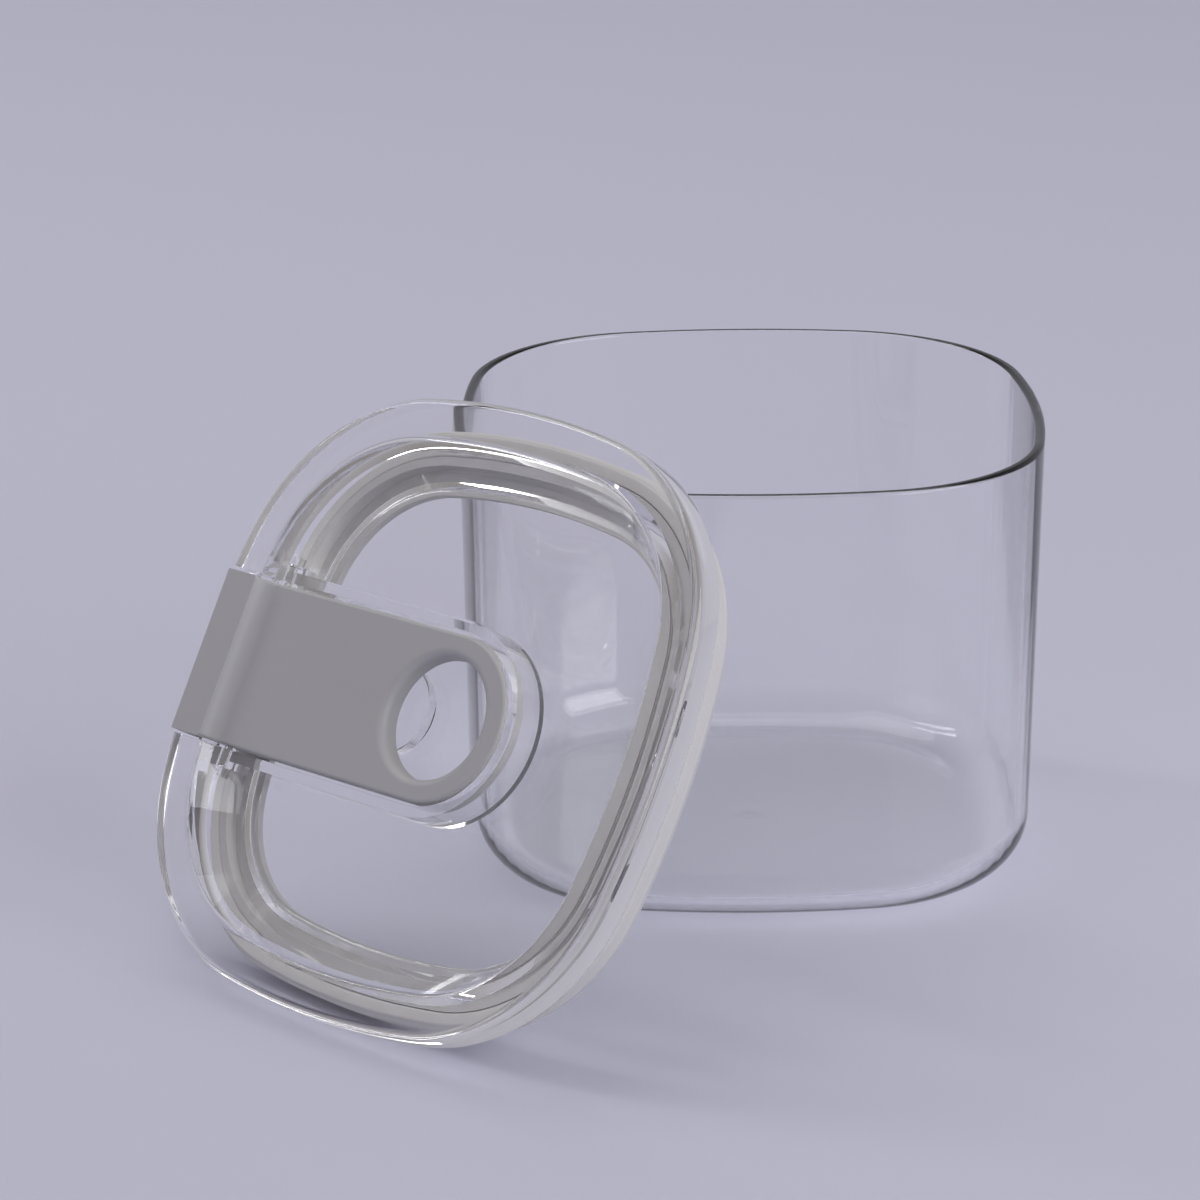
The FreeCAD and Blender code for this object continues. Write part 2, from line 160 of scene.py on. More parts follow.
# The soft lamps: name, size, power in watts, place and the point each one faces, in metres.
COOL_WHITE = (0.96, 0.97, 1.0)
LAMPS = (
    ("key_right", (1.6, 1.3), 20.0, (1.30, -1.20, 0.95), (-0.05, 0.0, 0.05)),
    ("top", (2.4, 1.8), 14.0, (-0.3, 0.75, 2.0), (0.0, 0.3, 0.0)),
    ("edge_strip", (0.12, 0.9), 3.0, (-1.1, 0.6, 1.1), (-0.07, -0.05, 0.06)),
)

# The point that the camera looks at, to the left of the origin and above the floor, and its roll.
VIEW_LEFT = 0.03414
VIEW_HEIGHT = 0.05486
VIEW_ROLL = math.radians(-0.18)

# Where the pale backdrop gives way to the dim room, as the sine of the height angle.
FADE_START = 0.15
FADE_END = 0.65


# ------------------------------------------------------------------ sizes and colours


class ClearPlastic(bpy.types.PropertyGroup):
    """Clear injection-moulded plastic of the canister and of the lid."""

    canister_tint: FloatVectorProperty(
        name="Canister tint",
        description="Colour left in light that passes through the thin canister wall",
        subtype="COLOR", size=3, min=0.0, max=1.0, default=(0.985, 0.985, 0.99),
    )
    lid_tint: FloatVectorProperty(
        name="Lid tint",
        description="Colour left in light that passes through the thick lid moulding",
        subtype="COLOR", size=3, min=0.0, max=1.0, default=(0.99, 0.988, 0.985),
    )
    steps: IntProperty(
        name="Steps round the outline",
        description="Number of sections round the canister and the lid moulding",
        min=64, max=2048, default=480,
    )
    index: FloatProperty(
        name="Refractive index",
        description="Refractive index of the plastic",
        min=1.3, max=1.8, default=1.53,
    )
    polish: FloatProperty(
        name="Roughness",
        description="Surface roughness left by the polished mould",
        subtype="FACTOR", min=0.0, max=1.0, default=0.012,
    )
    canister_shade: FloatProperty(
        name="Canister shadow",
        description="Share of lamp light that each surface of the canister lets straight through",
        subtype="FACTOR", min=0.0, max=1.0, default=0.78,
    )
    lid_shade: FloatProperty(
        name="Lid shadow",
        description="Share of lamp light that each surface of the lid lets straight through",
        subtype="FACTOR", min=0.0, max=1.0, default=0.90,
    )
    canister_escape: IntProperty(
        name="Canister bounces",
        description="Bounces after which light trapped in the canister wall leaves it",
        min=1, max=64, default=26,
    )
    lid_escape: IntProperty(
        name="Lid bounces",
        description="Bounces after which light trapped in the lid moulding leaves it",
        min=1, max=64, default=9,
    )
    wave: FloatProperty(
        name="Flow waves",
        description="Height of the slow waves that moulding leaves in the wall",
        subtype="DISTANCE", unit="LENGTH", min=0.0, max=0.001, default=0.00003,
    )


class SealSizes(bpy.types.PropertyGroup):
    """Silicone band round the lid."""

    silicone_colour: FloatVectorProperty(
        name="Silicone",
        description="Colour of the silicone band",
        subtype="COLOR", size=3, min=0.0, max=1.0, default=(0.62, 0.61, 0.605),
    )
    steps: IntProperty(
        name="Steps round the ring",
        description="Number of sections along the band",
        min=64, max=2048, default=480,
    )


class LeverFinish(bpy.types.PropertyGroup):
    """Opaque plastic of the finger lever and of the frame that carries the seal."""

    frame_colour: FloatVectorProperty(
        name="Seal frame",
        description="Colour of the matt white frame under the window",
        subtype="COLOR", size=3, min=0.0, max=1.0, default=(0.54, 0.53, 0.535),
    )
    lever_colour: FloatVectorProperty(
        name="Lever",
        description="Colour of the lever's satin plastic",
        subtype="COLOR", size=3, min=0.0, max=1.0, default=(0.455, 0.45, 0.455),
    )
    satin: FloatProperty(
        name="Roughness",
        description="Roughness of the spark-eroded satin face",
        subtype="FACTOR", min=0.0, max=1.0, default=0.42,
    )


class StudioSettings(bpy.types.PropertyGroup):
    """Floor, light and camera."""

    floor_colour: FloatVectorProperty(
        name="Floor",
        description="Colour of the paper the object stands on",
        subtype="COLOR", size=3, min=0.0, max=1.0, default=(0.60, 0.595, 0.715),
    )
    sweep_colour: FloatVectorProperty(
        name="Backdrop",
        description="Colour of the pale backdrop that stands round the floor",
        subtype="COLOR", size=3, min=0.0, max=1.0, default=(0.50, 0.495, 0.56),
    )
    room_colour: FloatVectorProperty(
        name="Room",
        description="Colour of the dim room above the backdrop",
        subtype="COLOR", size=3, min=0.0, max=1.0, default=(0.255, 0.24, 0.235),
    )
    lens: FloatProperty(
        name="Lens",
        description="Focal length on a 36 mm wide sensor, in millimetres",
        min=20.0, max=400.0, default=149.4,
    )
    azimuth: FloatProperty(
        name="Azimuth",
        description="Turn of the camera round the object from straight in front",
        subtype="ANGLE", unit="ROTATION", default=math.radians(-1.09),
    )
    elevation: FloatProperty(
        name="Elevation",
        description="Height angle of the camera above the floor",
        subtype="ANGLE", unit="ROTATION", default=math.radians(19.05),
    )
    distance: FloatProperty(
        name="Distance",
        description="From the camera to the point it looks at",
        subtype="DISTANCE", unit="LENGTH", min=0.2, max=10.0, default=1.131,
    )


# ------------------------------------------------------------------ shader node groups


def new_group(name, inputs, output):
    """Empty shader node group with the float inputs given as (name, value) and one float output."""
    tree = bpy.data.node_groups.new(name, "ShaderNodeTree")
    for label, value in inputs:
        socket = tree.interface.new_socket(name=label, in_out="INPUT", socket_type="NodeSocketFloat")
        socket.default_value = value
    tree.interface.new_socket(name=output, in_out="OUTPUT", socket_type="NodeSocketFloat")
    start = tree.nodes.new("NodeGroupInput")
    end = tree.nodes.new("NodeGroupOutput")
    return tree, start, end


def maths(tree, operation, a, b):
    """Math node; each side is a socket or a number."""
    node = tree.nodes.new("ShaderNodeMath")
    node.operation = operation
    for socket, value in zip(node.inputs, (a, b)):
        if isinstance(value, (int, float)):
            socket.default_value = value
        else:
            tree.links.new(value, socket)
    return node.outputs[0]


def object_place(tree):
    """Socket with the shaded point in the piece's own coordinates."""
    return tree.nodes.new("ShaderNodeTexCoord").outputs["Object"]


def map_range(tree, value, start, end, low=0.0, high=1.0, smooth=False):
    """Value between start and end, mapped to low up to high and held there."""
    node = tree.nodes.new("ShaderNodeMapRange")
    if smooth:
        node.interpolation_type = "SMOOTHSTEP"
    for label, number in zip(("From Min", "From Max", "To Min", "To Max"), (start, end, low, high)):
        node.inputs[label].default_value = number
    tree.links.new(value, node.inputs["Value"])
    return node.outputs["Result"]


def blend(tree, factor, first, second):
    """Colour between two colours."""
    node = tree.nodes.new("ShaderNodeMix")
    node.data_type = "RGBA"
    node.inputs["A"].default_value = (*first, 1.0)
    node.inputs["B"].default_value = (*second, 1.0)
    tree.links.new(factor, node.inputs["Factor"])
    return node.outputs["Result"]


def noise(tree, place, scale, detail, rough=0.5):
    """Noise on object coordinates; scale is a number or a socket, in waves per metre."""
    node = tree.nodes.new("ShaderNodeTexNoise")
    node.inputs["Detail"].default_value = detail
    node.inputs["Roughness"].default_value = rough
    tree.links.new(place, node.inputs["Vector"])
    if isinstance(scale, (int, float)):
        node.inputs["Scale"].default_value = scale
    else:
        tree.links.new(scale, node.inputs["Scale"])
    return node.outputs["Fac"]


def flow_waves_group():
    """Slow waves of the moulding and the grain of its surface, as a height."""
    name = "Moulded surface"
    if name in bpy.data.node_groups:
        return bpy.data.node_groups[name]
    tree, start, end = new_group(
        name,
        (("Wave height", 0.00003), ("Wave scale", 22.0), ("Grain height", 0.0), ("Grain scale", 4000.0)),
        "Height",
    )
    place = object_place(tree)
    slow = noise(tree, place, start.outputs["Wave scale"], 1.0)
    fine = noise(tree, place, start.outputs["Grain scale"], 2.0, 0.6)
    waves = maths(tree, "MULTIPLY", slow, start.outputs["Wave height"])
    grain = maths(tree, "MULTIPLY", fine, start.outputs["Grain height"])
    tree.links.new(maths(tree, "ADD", waves, grain), end.inputs["Height"])
    return tree


def handling_group():
    """Faint cloudy film and hairline scratches from handling, added to a base roughness."""
    name = "Handling marks"
    if name in bpy.data.node_groups:
        return bpy.data.node_groups[name]
    tree, start, end = new_group(
        name,
        (("Base", 0.01), ("Film", 0.02), ("Scratches", 0.1), ("Scratch scale", 260.0)),
        "Roughness",
    )
    place = object_place(tree)
    cloud = noise(tree, place, 34.0, 3.0)
    film = maths(tree, "MULTIPLY", map_range(tree, cloud, 0.45, 0.75), start.outputs["Film"])
    stretch = tree.nodes.new("ShaderNodeMapping")
    stretch.inputs["Scale"].default_value = (1.0, 1.0, 0.06)
    stretch.inputs["Rotation"].default_value = (0.9, 0.5, 0.3)
    tree.links.new(place, stretch.inputs["Vector"])
    hair = noise(tree, stretch.outputs["Vector"], start.outputs["Scratch scale"], 2.0, 0.7)
    scratch = maths(tree, "MULTIPLY", map_range(tree, hair, 0.70, 0.74), start.outputs["Scratches"])
    total = maths(tree, "ADD", maths(tree, "ADD", start.outputs["Base"], film), scratch)
    tree.links.new(total, end.inputs["Roughness"])
    return tree


def place_group(tree, group, **values):
    """Instance of a node group with its inputs set by name."""
    node = tree.nodes.new("ShaderNodeGroup")
    node.node_tree = group
    for name, value in values.items():
        node.inputs[name.replace("_", " ")].default_value = value
    return node


# ------------------------------------------------------------------ materials


def fresh_material(name, view_colour):
    """Empty node material with its Principled shader and output."""
    material = bpy.data.materials.new(name)
    material.use_nodes = True
    material.diffuse_color = (*view_colour, 1.0)
    tree = material.node_tree
    shader = next(n for n in tree.nodes if n.type == "BSDF_PRINCIPLED")
    output = next(n for n in tree.nodes if n.type == "OUTPUT_MATERIAL")
    return material, tree, shader, output


def bump_from(tree, height, shader):
    """Feeds a height in metres to the shader's normal."""
    bump = tree.nodes.new("ShaderNodeBump")
    bump.inputs["Strength"].default_value = 1.0
    bump.inputs["Distance"].default_value = 1.0
    tree.links.new(height, bump.inputs["Height"])
    tree.links.new(bump.outputs["Normal"], shader.inputs["Normal"])


def clear_material(name, tint, shade, escape, wave_scale, film, gate=None):
    """Clear plastic: flow waves, film and scratches; gate is the middle of a moulding gate mark.

    Shade is the share of lamp light that each of its surfaces lets straight through.
    Escape is the number of bounces after which trapped light leaves the plastic.
    """
    plastic = bpy.context.scene.clear_plastic
    material, tree, shader, output = fresh_material(name, tint)
    shader.inputs["Base Color"].default_value = (*tint, 1.0)
    shader.inputs["Transmission Weight"].default_value = 1.0
    shader.inputs["IOR"].default_value = plastic.index
    marks = place_group(tree, handling_group(), Base=plastic.polish, Film=film, Scratches=0.05)
    tree.links.new(marks.outputs["Roughness"], shader.inputs["Roughness"])
    waves = place_group(tree, flow_waves_group(), Wave_height=plastic.wave, Wave_scale=wave_scale)
    height = waves.outputs["Height"]
    if gate is not None:
        distance = tree.nodes.new("ShaderNodeVectorMath")
        distance.operation = "DISTANCE"
        tree.links.new(object_place(tree), distance.inputs[0])
        distance.inputs[1].default_value = gate
        reach = distance.outputs["Value"]
        button = map_range(tree, reach, GATE_FLAT, GATE_EDGE, GATE_HEIGHT, 0.0, smooth=True)
        height = maths(tree, "ADD", height, button)
    bump_from(tree, height, shader)
    straight = tree.nodes.new("ShaderNodeBsdfTransparent")
    straight.inputs["Color"].default_value = (*(shade * c for c in tint), 1.0)
    path = tree.nodes.new("ShaderNodeLightPath")
    mix = tree.nodes.new("ShaderNodeMixShader")
    trapped = maths(tree, "GREATER_THAN", path.outputs["Ray Depth"], escape)
    through = maths(tree, "MAXIMUM", path.outputs["Is Shadow Ray"], trapped)
    tree.links.new(through, mix.inputs["Fac"])
    tree.links.new(shader.outputs["BSDF"], mix.inputs[1])
    tree.links.new(straight.outputs["BSDF"], mix.inputs[2])
    tree.links.new(mix.outputs["Shader"], output.inputs["Surface"])
    return material


def silicone_material(colour):
    """Matt off-white silicone with a soft inner glow, fine tooth and a little dust."""
    material, tree, shader, _ = fresh_material("silicone", colour)
    marks = place_group(tree, handling_group(), Base=0.52, Film=0.12, Scratches=0.0, Scratch_scale=300.0)
    tree.links.new(marks.outputs["Roughness"], shader.inputs["Roughness"])
    dust = (0.55, 0.53, 0.50)
    specks = map_range(tree, noise(tree, object_place(tree), 900.0, 2.0), 0.68, 0.74, 0.0, 0.10)
    tree.links.new(blend(tree, specks, colour, dust), shader.inputs["Base Color"])
    shader.inputs["Subsurface Weight"].default_value = 0.25
    shader.inputs["Subsurface Radius"].default_value = (1.0, 0.9, 0.85)
    shader.inputs["Subsurface Scale"].default_value = 0.0015
    shader.inputs["IOR"].default_value = 1.41
    skin = place_group(
        tree, flow_waves_group(), Wave_height=0.00005, Wave_scale=60.0, Grain_height=0.000008,
        Grain_scale=2600.0,
    )
    bump_from(tree, skin.outputs["Height"], shader)
    return material


def satin_material(name, colour, satin):
    """Opaque satin plastic: spark-eroded grain, slow shade changes and light handling marks."""
    material, tree, shader, _ = fresh_material(name, colour)
    marks = place_group(tree, handling_group(), Base=satin, Film=0.06, Scratches=0.10, Scratch_scale=420.0)
    tree.links.new(marks.outputs["Roughness"], shader.inputs["Roughness"])
    tone = tree.nodes.new("ShaderNodeVectorMath")
    tone.operation = "SCALE"
    tone.inputs[0].default_value = colour
    shade = map_range(tree, noise(tree, object_place(tree), 40.0, 3.0), 0.0, 1.0, 0.96, 1.03)
    tree.links.new(shade, tone.inputs["Scale"])
    tree.links.new(tone.outputs["Vector"], shader.inputs["Base Color"])
    shader.inputs["IOR"].default_value = 1.49
    skin = place_group(
        tree, flow_waves_group(), Wave_height=0.00002, Wave_scale=30.0, Grain_height=0.000006,
        Grain_scale=5200.0,
    )
    bump_from(tree, skin.outputs["Height"], shader)
    return material


def dress(node, material):
    """Gives a CAD node's own mesh a finished material."""
    for slot in NODES[node].material_slots:
        slot.material = material


# ------------------------------------------------------------------ swept rings


def ring_path(name):
    """Closed poly curve of the rounded square: the canister's mouth line."""
    middle = HALF_WIDTH - SIDE_RADIUS
    half = middle / 2
    diagonal = half + math.sqrt(half ** 2 - (middle ** 2 - (SIDE_RADIUS - CORNER_RADIUS) ** 2) / 2)
    swing = math.atan2(diagonal, diagonal - middle)
    points = []
    for quarter in range(4):
        turn = quarter * math.pi / 2
        for step in range(SIDE_STEPS):
            angle = turn + swing * (2 * step / SIDE_STEPS - 1)
            centre = Vector((middle * math.cos(turn), middle * math.sin(turn)))
            points.append(centre + SIDE_RADIUS * Vector((math.cos(angle), math.sin(angle))))
        spread = math.pi / 2 - 2 * swing
        for step in range(CORNER_STEPS):
            angle = turn + swing + spread * step / CORNER_STEPS
            centre = diagonal * Vector((math.cos(turn) - math.sin(turn), math.sin(turn) + math.cos(turn)))
            points.append(centre + CORNER_RADIUS * Vector((math.cos(angle), math.sin(angle))))
    return poly_curve(name, [(p.x, p.y, 0.0) for p in points], True)


def poly_curve(name, points, closed):
    """Curve object of straight runs through points given in millimetres."""
    data = bpy.data.curves.new(name, "CURVE")
    data.dimensions = "3D"
    spline = data.splines.new("POLY")
    spline.points.add(len(points) - 1)
    for point, place in zip(spline.points, points):
        point.co = (*(c * MM for c in place), 1.0)
    spline.use_cyclic_u = closed
    curve = bpy.data.objects.new(name, data)
    bpy.context.scene.collection.objects.link(curve)
    return curve


def rounded(corners, steps):
    """Profile points with each (inset, height, radius) corner rounded by an arc."""
    points = [Vector((c[0], c[1])) for c in corners]
    radii = [c[2] if len(c) > 2 else 0.0 for c in corners]
    result = []
    for i, corner in enumerate(points):
        if radii[i] <= 0:
            result.append(corner)
            continue
        before = (points[i - 1] - corner).normalized()
        after = (points[(i + 1) % len(points)] - corner).normalized()
        half = before.angle(after) / 2
        centre = corner + (before + after).normalized() * radii[i] / math.sin(half)
        first = corner + before * radii[i] / math.tan(half) - centre
        last = corner + after * radii[i] / math.tan(half) - centre
        swing = first.angle_signed(last)
        for step in range(steps + 1):
            angle = -swing * step / steps
            result.append(centre + Matrix.Rotation(angle, 2) @ first)
    return result


def sweep_tree():
    """Geometry nodes: a closed profile swept round the path that the object holds."""
    name = "Swept ring"
    if name in bpy.data.node_groups:
        return bpy.data.node_groups[name]
    tree = bpy.data.node_groups.new(name, "GeometryNodeTree")
    tree.is_modifier = True
    face = tree.interface
    face.new_socket(name="Path", in_out="INPUT", socket_type="NodeSocketGeometry")
    face.new_socket(name="Profile", in_out="INPUT", socket_type="NodeSocketObject")
    steps = face.new_socket(name="Steps", in_out="INPUT", socket_type="NodeSocketInt")
    steps.default_value = 480
    steps.min_value = 64
    face.new_socket(name="Finish", in_out="INPUT", socket_type="NodeSocketMaterial")
    face.new_socket(name="Ring", in_out="OUTPUT", socket_type="NodeSocketGeometry")
    start = tree.nodes.new("NodeGroupInput")
    end = tree.nodes.new("NodeGroupOutput")
    spread = tree.nodes.new("GeometryNodeResampleCurve")
    upright = tree.nodes.new("GeometryNodeSetCurveNormal")
    upright.mode = "Z_UP"
    section = tree.nodes.new("GeometryNodeObjectInfo")
    section.transform_space = "ORIGINAL"
    sweep = tree.nodes.new("GeometryNodeCurveToMesh")
    smooth = tree.nodes.new("GeometryNodeSetShadeSmooth")
    real = tree.nodes.new("GeometryNodeRealizeInstances")
    finish = tree.nodes.new("GeometryNodeSetMaterial")
    link = tree.links.new
    link(start.outputs["Path"], spread.inputs["Curve"])
    link(start.outputs["Steps"], spread.inputs["Count"])
    link(spread.outputs["Curve"], upright.inputs["Curve"])
    link(start.outputs["Profile"], section.inputs["Object"])
    link(upright.outputs["Curve"], sweep.inputs["Curve"])
    link(section.outputs["Geometry"], sweep.inputs["Profile Curve"])
    link(sweep.outputs["Mesh"], smooth.inputs["Geometry"])
    link(smooth.outputs["Geometry"], real.inputs["Geometry"])
    link(real.outputs["Geometry"], finish.inputs["Geometry"])
    link(start.outputs["Finish"], finish.inputs["Material"])
    link(finish.outputs["Geometry"], end.inputs["Ring"])
    return tree


def set_input(modifier, label, value):
    """Sets a geometry nodes input by its socket's identifier."""
    for item in modifier.node_group.interface.items_tree:
        if item.item_type == "SOCKET" and item.in_out == "INPUT" and item.name == label:
            modifier[item.identifier] = value
            return
    raise RuntimeError(f"the tree has no input named {label}")


def swept_mesh(name, corners, closed, material, steps, rounding_steps):
    """Mesh swept round the rounded square from (inset from the mouth line, height, rounding) corners.

    An open profile gives a shell, and flat faces close its two ends.
    """
    holder = ring_path(f"{name}_path")
    outline = [(-p.x, -p.y, 0.0) for p in rounded(corners, rounding_steps)]
    profile = poly_curve(f"{name}_profile", outline, closed)
    modifier = holder.modifiers.new("Sweep", "NODES")
    modifier.node_group = sweep_tree()
    set_input(modifier, "Profile", profile)
    set_input(modifier, "Steps", steps)
    set_input(modifier, "Finish", material)
    depsgraph = bpy.context.evaluated_depsgraph_get()
    mesh = bpy.data.meshes.new_from_object(holder.evaluated_get(depsgraph), depsgraph=depsgraph)
    for used in (holder, profile):
        data = used.data
        bpy.data.objects.remove(used)
        bpy.data.curves.remove(data)
    mesh.name = name
    if not closed:
        form = bmesh.new()
        form.from_mesh(mesh)
        bmesh.ops.remove_doubles(form, verts=form.verts, dist=SAME_PLACE)
        bmesh.ops.holes_fill(form, edges=form.edges, sides=0)
        bmesh.ops.recalc_face_normals(form, faces=form.faces)
        form.to_mesh(mesh)
        form.free()
    return mesh


def shown_piece(mesh, crease):
    """Object for a finished mesh, smooth except along edges sharper than the crease angle."""
    piece = bpy.data.objects.new(mesh.name, mesh)
    bpy.context.scene.collection.objects.link(piece)
    finish_mesh(mesh, crease)
    return piece


def prism(points, low, high, across=False):
    """Closed prism over a polygon in millimetres: along Z, or across the lever for a side view."""
    form = bmesh.new()
    if across:
        verts = [form.verts.new((x * MM, low * MM, z * MM)) for x, z in points]
        step = Vector((0.0, (high - low) * MM, 0.0))
    else:
        verts = [form.verts.new((x * MM, y * MM, low * MM)) for x, y in points]
        step = Vector((0.0, 0.0, (high - low) * MM))
    face = form.faces.new(verts)
    lifted = bmesh.ops.extrude_face_region(form, geom=[face])["geom"]
    bmesh.ops.translate(form, vec=step, verts=[v for v in lifted if isinstance(v, bmesh.types.BMVert)])
    bmesh.ops.recalc_face_normals(form, faces=form.faces)
    mesh = bpy.data.meshes.new("tool")
    form.to_mesh(mesh)
    form.free()
    return mesh


def bar(left, end, half):
    """Outline of a bar with a square end at left and a half-round end about x = end."""
    points = [(left, half), (left, -half)]
    for step in range(ROUND_STEPS + 1):
        angle = math.pi * (step / ROUND_STEPS - 0.5)
        points.append((end + half * math.cos(angle), half * math.sin(angle)))
    return points


def disc(x, y, radius):
    """Outline of a circle."""
    turns = [math.tau * step / ROUND_STEPS for step in range(ROUND_STEPS)]
    return [(x + radius * math.cos(a), y + radius * math.sin(a)) for a in turns]


def combine(mesh, tool, operation):
    """Mesh after a union with, or a cut by, the tool."""
    pair = [bpy.data.objects.new(m.name, m) for m in (mesh, tool)]
    for item in pair:
        bpy.context.scene.collection.objects.link(item)
    modifier = pair[0].modifiers.new("Shape", "BOOLEAN")
    modifier.operation = operation
    modifier.solver = "EXACT"
    modifier.object = pair[1]
    depsgraph = bpy.context.evaluated_depsgraph_get()
    result = bpy.data.meshes.new_from_object(pair[0].evaluated_get(depsgraph), depsgraph=depsgraph)
    for item, used in zip(pair, (mesh, tool)):
        bpy.data.objects.remove(item)
        bpy.data.meshes.remove(used)
    return result


def cover_mesh(material, steps):
    """The lid moulding: rim, sloped wall and window swept in one, then the lever's chamber."""
    end = WINDOW_INSET + WINDOW_RUN
    section = [
        (end, WINDOW_TOP), (WINDOW_INSET, WINDOW_TOP, FOOT_ROUNDING), (RIM_FLAT, 0.0, INNER_ROUNDING),
        (0.0, 0.0, OUTER_ROUNDING), (0.0, RIM_BOTTOM, LOWER_ROUNDING), (SLOPE_START, RIM_BOTTOM),
        (SLOPE_END, WINDOW_BOTTOM), (end, WINDOW_BOTTOM),
    ]
    corners = [(inset - OVERHANG, *rest) for inset, *rest in section]
    mesh = swept_mesh("lid_moulding", corners, False, material, steps, 10)

    walls = bar(PIVOT_X - CHAMBER_PAST_PIVOT, LEVER_END, GAP_HALF + CHAMBER_WALL)
    mesh = combine(mesh, prism(walls, WINDOW_TOP - WALL_SINK, LEVER_TOP), "UNION")
    left, right = PIVOT_X - EAR_HALF_LENGTH, PIVOT_X + EAR_HALF_LENGTH
    for side in (-1, 1):
        near, far = side * GAP_HALF, side * (GAP_HALF + EAR_WIDTH)
        ear = [(left, near), (right, near), (right, far), (left, far)]
        mesh = combine(mesh, prism(ear, WINDOW_TOP - EAR_SINK, LEVER_TOP + EAR_RISE), "UNION")

    bottom = WINDOW_TOP + SKIM
    hollow = bar(PIVOT_X, LEVER_END, GAP_HALF)
    mesh = combine(mesh, prism(hollow, bottom, CUT_PAST), "DIFFERENCE")
    outside, inner = -LID_HALF, PIVOT_X + TROUGH_PAST_PIVOT
    under, web = RIM_BOTTOM - CUT_PAST, RIM_BOTTOM + WEB_THICKNESS
    trough = [
        (outside - CUT_PAST, CUT_PAST), (outside - CUT_PAST, under), (outside + TROUGH_OPEN, under),
        (outside + TROUGH_OPEN, web), (outside + TROUGH_WEB, web), (outside + TROUGH_FOOT, bottom),
        (inner, bottom), (inner, CUT_PAST),
    ]
    mesh = combine(mesh, prism(trough, -GAP_HALF, GAP_HALF, across=True), "DIFFERENCE")
    post = disc(POST_X, 0.0, POST_RADIUS)
    mesh = combine(mesh, prism(post, WINDOW_TOP - POST_SINK, WINDOW_TOP + POST_HEIGHT), "UNION")
    reach = GAP_HALF + EAR_WIDTH + CUT_PAST
    bore = disc(PIVOT_X, PIVOT_Z, BORE_RADIUS)
    mesh = combine(mesh, prism(bore, -reach, reach, across=True), "DIFFERENCE")

    mesh.name = "lid_moulding"
    mesh.materials.clear()
    mesh.materials.append(material)
    mesh.transform(LID_PLACE)
    return mesh


def turned_pin(name, middle, axis, reach, material):
    """Round pin with bevelled ends, reach millimetres to each side of its middle."""
    half = [(PIN_RADIUS, reach - PIN_BEVEL), (PIN_RADIUS - PIN_BEVEL, reach), (0.0, reach)]
    line = [(r, -h) for r, h in reversed(half)] + half
    form = bmesh.new()
    verts = [form.verts.new((r * MM, 0.0, h * MM)) for r, h in line]
    edges = [form.edges.new(pair) for pair in zip(verts, verts[1:])]
    bmesh.ops.spin(
        form, geom=verts + edges, cent=(0, 0, 0), axis=(0, 0, 1), angle=math.tau, steps=PIN_STEPS,
        use_merge=True,
    )
    mesh = bpy.data.meshes.new(name)
    form.to_mesh(mesh)
    form.free()
    mesh.transform(Matrix.Translation(middle) @ axis.to_track_quat("Z", "X").to_matrix().to_4x4())
    mesh.materials.append(material)
    return shown_piece(mesh, CREASE)


def finish_mesh(mesh, crease):
    """Merges doubles, points faces outwards and keeps edges sharper than the crease angle."""
    form = bmesh.new()
    form.from_mesh(mesh)
    bmesh.ops.remove_doubles(form, verts=form.verts, dist=SAME_PLACE)
    bmesh.ops.recalc_face_normals(form, faces=form.faces)
    open_edges = [edge for edge in form.edges if not edge.is_manifold]
    if form.calc_volume(signed=True) < 0:
        bmesh.ops.reverse_faces(form, faces=form.faces)
    form.to_mesh(mesh)
    form.free()
    if open_edges:
        raise RuntimeError(f"{mesh.name}: {len(open_edges)} open edges")
    mesh.shade_smooth()
    mesh.set_sharp_from_angle(angle=crease)


# ------------------------------------------------------------------ operators


class CANISTER_OT_box(bpy.types.Operator):
    """Finish the clear canister"""

    bl_idname = "canister.box"
    bl_label = "Canister"

    def execute(self, context):
        plastic = context.scene.clear_plastic
        low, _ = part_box("canister")
        material = clear_material(
            "clear_canister", tuple(plastic.canister_tint), plastic.canister_shade,
            plastic.canister_escape, wave_scale=18.0, film=0.012, gate=(0.0, 0.0, low.z + FLOOR * MM),
        )
        inside = WALL + DRAFT * (1 - FLOOR / HEIGHT)
        corners = [
            (DRAFT + HEEL + BASE_RUN, 0.0), (DRAFT, 0.0, HEEL), (0.0, HEIGHT, MOUTH_ROUNDING),
            (WALL, HEIGHT, MOUTH_ROUNDING), (inside, FLOOR, HEEL - WALL),
            (inside + HEEL - WALL + BASE_RUN, FLOOR),
        ]
        mesh = swept_mesh("canister_shell", corners, False, material, plastic.steps, 16)
        shell = shown_piece(mesh, CREASE)
        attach(shell, "canister")
        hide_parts("canister")
        return {"FINISHED"}


class CANISTER_OT_cover(bpy.types.Operator):
    """Finish the clear lid moulding and turn its two hinge pins"""

    bl_idname = "canister.cover"
    bl_label = "Lid moulding"

    def execute(self, context):
        plastic = context.scene.clear_plastic
        material = clear_material(
            "clear_lid", tuple(plastic.lid_tint), plastic.lid_shade, plastic.lid_escape,
            wave_scale=26.0, film=0.010,
        )
        cover = shown_piece(cover_mesh(material, plastic.steps), CREASE)
        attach(cover, "lid")
        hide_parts("lid_cover")
        across = LID_PLACE.to_3x3().col[1].normalized()
        for node in ("pivot_pin_1", "pivot_pin_2"):
            low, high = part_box(node)
            middle = (low + high) / 2
            reach = max(abs((v.co - middle).dot(across)) for v in NODES[node].data.vertices)
            pin = turned_pin(f"{node}_turned", middle, across, reach / MM, material)
            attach(pin, "lid")
            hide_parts(node)
        return {"FINISHED"}


